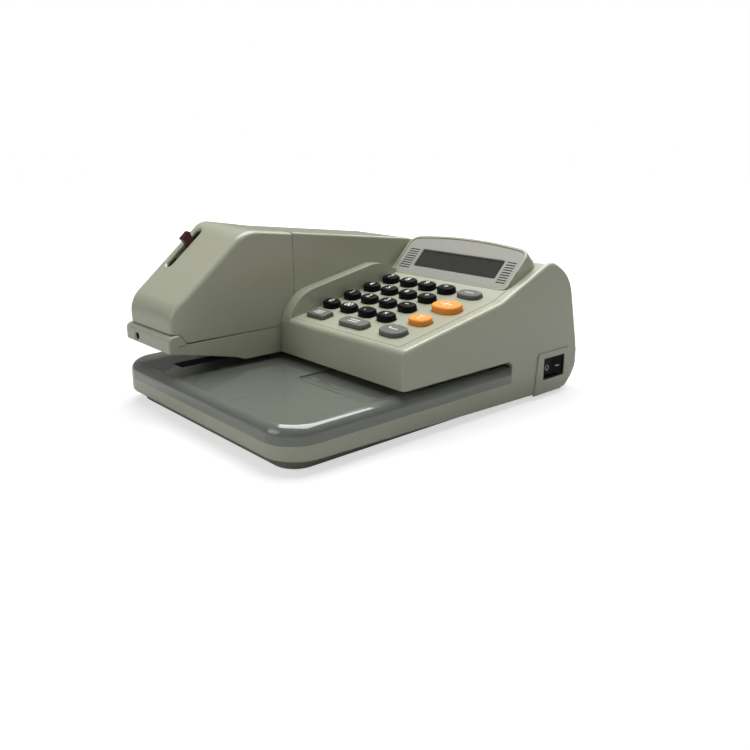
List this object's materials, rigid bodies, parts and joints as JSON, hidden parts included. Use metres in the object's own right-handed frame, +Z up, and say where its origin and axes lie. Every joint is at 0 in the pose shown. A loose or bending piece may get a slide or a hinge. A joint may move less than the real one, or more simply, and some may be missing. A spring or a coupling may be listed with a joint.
{
  "type": "check writer",
  "caption": "Desk machine that prints amounts on checks: flat tray, keypad console with tilted display, and an overhanging print arm with a hinged cover.",
  "frame": {"origin": "centre of the footprint, on the surface the feet rest on", "axes": "+X to the user's right, +Y to the rear, +Z up; the user sits at -Y"},
  "size_m": [0.218, 0.2834, 0.131],
  "materials": {
    "casing_plastic": "semi-gloss moulded sage grey",
    "tray_plastic": "polished dark grey",
    "black_plastic": "black moulded",
    "grey_key": "fine matt grey",
    "orange_key": "orange rubberised",
    "bezel_grey": "satin grey",
    "window_clear": "clear tinted window",
    "steel": "plated sheet",
    "board_green": "solder mask",
    "rubber": "matt rubber",
    "mat_rubber": "silicone mat",
    "lever_plastic": "maroon moulded",
    "pan_plastic": "grey moulded",
    "white_plastic": "off-white engineering plastic",
    "copper": "taped winding",
    "ink_foam": "inked foam"
  },
  "bodies": {
    "housing": {"base_shell": "casing_plastic", "bottom_pan": "pan_plastic", "rubber_feet": "rubber", "pan_screws": "steel", "tray": "tray_plastic", "platen_bar": "rubber", "upper_housing": "casing_plastic", "head_skirt": "casing_plastic", "nose_bar": "casing_plastic", "lock_barrel": "steel", "key_mat": "mat_rubber", "key_board": "board_green", "display_bezel": "bezel_grey", "display_window": "window_clear", "lcd_module": "board_green", "switch_body": "black_plastic", "power_inlet": "black_plastic", "main_board": "board_green", "transformer": "copper", "head_chassis": "steel", "guide_rods": "steel", "carriage_motor": "black_plastic", "drive_belt": "rubber", "hinge_pin": "steel"},
    "cover": {"head_cover": "casing_plastic", "lever_pin": "steel"},
    "lever": {"setting_lever": "lever_plastic"},
    "rocker": {"switch_rocker": "black_plastic"},
    "carriage": {"print_carriage": "white_plastic"},
    "wheel": {"print_wheel": "steel"},
    "inker": {"ink_roller": "ink_foam"},
    "drive": {"drive_pulley": "white_plastic"},
    "idler": {"idler_pulley": "white_plastic"},
    "lock": {"lock_plug": "black_plastic"},
    "button_7": {"key_7": "black_plastic"},
    "button_8": {"key_8": "black_plastic"},
    "button_9": {"key_9": "black_plastic"},
    "button_divide": {"key_divide": "black_plastic"},
    "button_4": {"key_4": "black_plastic"},
    "button_5": {"key_5": "black_plastic"},
    "button_6": {"key_6": "black_plastic"},
    "button_plus": {"key_plus": "black_plastic"},
    "button_1": {"key_1": "black_plastic"},
    "button_2": {"key_2": "black_plastic"},
    "button_3": {"key_3": "black_plastic"},
    "button_minus": {"key_minus": "black_plastic"},
    "button_0": {"key_0": "black_plastic"},
    "button_00": {"key_00": "black_plastic"},
    "button_point": {"key_point": "black_plastic"},
    "button_times": {"key_times": "black_plastic"},
    "button_menu": {"key_menu": "grey_key"},
    "button_total": {"key_total": "grey_key"},
    "button_clear": {"key_clear": "grey_key"},
    "button_feed": {"key_feed": "orange_key"},
    "button_print": {"key_print": "orange_key"},
    "button_reset": {"key_reset": "grey_key"}
  },
  "joints": [
    {"name": "cover_hinge", "type": "hinge", "parent": "housing", "child": "cover", "pos_m": [-0.05975, -0.03855, 0.12269], "axis": [-1, 0, 0], "range_deg": [0, 65]},
    {"name": "lever_pivot", "type": "hinge", "parent": "cover", "child": "lever", "pos_m": [-0.0805, -0.07544, 0.08782], "axis": [1, 0, 0], "range_deg": [-6, 32]},
    {"name": "rocker_tip", "type": "hinge", "parent": "housing", "child": "rocker", "pos_m": [0.1035, 0.11025, 0.0226], "axis": [0, 0, 1], "range_deg": [0, 12]},
    {"name": "lock_turn", "type": "hinge", "parent": "housing", "child": "lock", "pos_m": [-0.075, -0.1377, 0.0547], "axis": [0, 1, 0], "range_deg": [0, 90]},
    {"name": "carriage_slide", "type": "slide", "parent": "housing", "child": "carriage", "axis": [0, -1, 0], "range_m": [0, 0.1]},
    {"name": "wheel_spin", "type": "hinge", "parent": "carriage", "child": "wheel", "pos_m": [-0.05975, 0.02925, 0.0517], "axis": [1, 0, 0], "continuous": true},
    {"name": "inker_spin", "type": "hinge", "parent": "carriage", "child": "inker", "pos_m": [-0.05975, 0.00849, 0.05688], "axis": [1, 0, 0], "continuous": true},
    {"name": "drive_spin", "type": "hinge", "parent": "housing", "child": "drive", "pos_m": [-0.05975, 0.06425, 0.084], "axis": [0, 0, -1], "range_deg": [0, 650]},
    {"name": "idler_spin", "type": "hinge", "parent": "housing", "child": "idler", "pos_m": [-0.05975, -0.08775, 0.084], "axis": [0, 0, -1], "range_deg": [0, 650]},
    {"name": "press_7", "type": "slide", "parent": "housing", "child": "button_7", "axis": [0, 0.1874, -0.9823], "range_m": [0, 0.0018], "stiffness_N_per_m": 300, "springref_m": -0.0005},
    {"name": "press_8", "type": "slide", "parent": "housing", "child": "button_8", "axis": [0, 0.1874, -0.9823], "range_m": [0, 0.0018], "stiffness_N_per_m": 300, "springref_m": -0.0005},
    {"name": "press_9", "type": "slide", "parent": "housing", "child": "button_9", "axis": [0, 0.1874, -0.9823], "range_m": [0, 0.0018], "stiffness_N_per_m": 300, "springref_m": -0.0005},
    {"name": "press_divide", "type": "slide", "parent": "housing", "child": "button_divide", "axis": [0, 0.1874, -0.9823], "range_m": [0, 0.0018], "stiffness_N_per_m": 300, "springref_m": -0.0005},
    {"name": "press_4", "type": "slide", "parent": "housing", "child": "button_4", "axis": [0, 0.1874, -0.9823], "range_m": [0, 0.0018], "stiffness_N_per_m": 300, "springref_m": -0.0005},
    {"name": "press_5", "type": "slide", "parent": "housing", "child": "button_5", "axis": [0, 0.1874, -0.9823], "range_m": [0, 0.0018], "stiffness_N_per_m": 300, "springref_m": -0.0005},
    {"name": "press_6", "type": "slide", "parent": "housing", "child": "button_6", "axis": [0, 0.1874, -0.9823], "range_m": [0, 0.0018], "stiffness_N_per_m": 300, "springref_m": -0.0005},
    {"name": "press_plus", "type": "slide", "parent": "housing", "child": "button_plus", "axis": [0, 0.1874, -0.9823], "range_m": [0, 0.0018], "stiffness_N_per_m": 300, "springref_m": -0.0005},
    {"name": "press_1", "type": "slide", "parent": "housing", "child": "button_1", "axis": [0, 0.1874, -0.9823], "range_m": [0, 0.0018], "stiffness_N_per_m": 300, "springref_m": -0.0005},
    {"name": "press_2", "type": "slide", "parent": "housing", "child": "button_2", "axis": [0, 0.1874, -0.9823], "range_m": [0, 0.0018], "stiffness_N_per_m": 300, "springref_m": -0.0005},
    {"name": "press_3", "type": "slide", "parent": "housing", "child": "button_3", "axis": [0, 0.1874, -0.9823], "range_m": [0, 0.0018], "stiffness_N_per_m": 300, "springref_m": -0.0005},
    {"name": "press_minus", "type": "slide", "parent": "housing", "child": "button_minus", "axis": [0, 0.1874, -0.9823], "range_m": [0, 0.0018], "stiffness_N_per_m": 300, "springref_m": -0.0005},
    {"name": "press_0", "type": "slide", "parent": "housing", "child": "button_0", "axis": [0, 0.1874, -0.9823], "range_m": [0, 0.0018], "stiffness_N_per_m": 300, "springref_m": -0.0005},
    {"name": "press_00", "type": "slide", "parent": "housing", "child": "button_00", "axis": [0, 0.1874, -0.9823], "range_m": [0, 0.0018], "stiffness_N_per_m": 300, "springref_m": -0.0005},
    {"name": "press_point", "type": "slide", "parent": "housing", "child": "button_point", "axis": [0, 0.1874, -0.9823], "range_m": [0, 0.0018], "stiffness_N_per_m": 300, "springref_m": -0.0005},
    {"name": "press_times", "type": "slide", "parent": "housing", "child": "button_times", "axis": [0, 0.1874, -0.9823], "range_m": [0, 0.0018], "stiffness_N_per_m": 300, "springref_m": -0.0005},
    {"name": "press_menu", "type": "slide", "parent": "housing", "child": "button_menu", "axis": [0, 0.1874, -0.9823], "range_m": [0, 0.0018], "stiffness_N_per_m": 300, "springref_m": -0.0005},
    {"name": "press_total", "type": "slide", "parent": "housing", "child": "button_total", "axis": [0, 0.1874, -0.9823], "range_m": [0, 0.0018], "stiffness_N_per_m": 300, "springref_m": -0.0005},
    {"name": "press_clear", "type": "slide", "parent": "housing", "child": "button_clear", "axis": [0, 0.1874, -0.9823], "range_m": [0, 0.0018], "stiffness_N_per_m": 300, "springref_m": -0.0005},
    {"name": "press_feed", "type": "slide", "parent": "housing", "child": "button_feed", "axis": [0, 0.1874, -0.9823], "range_m": [0, 0.0018], "stiffness_N_per_m": 300, "springref_m": -0.0005},
    {"name": "press_print", "type": "slide", "parent": "housing", "child": "button_print", "axis": [0, 0.1874, -0.9823], "range_m": [0, 0.0018], "stiffness_N_per_m": 300, "springref_m": -0.0005},
    {"name": "press_reset", "type": "slide", "parent": "housing", "child": "button_reset", "axis": [0, 0.1874, -0.9823], "range_m": [0, 0.0018], "stiffness_N_per_m": 300, "springref_m": -0.0005}
  ],
  "couplings": [
    {"joint": "drive_spin", "follows": "carriage_slide", "rad_per_m": 112.36},
    {"joint": "idler_spin", "follows": "carriage_slide", "rad_per_m": 112.36}
  ]
}
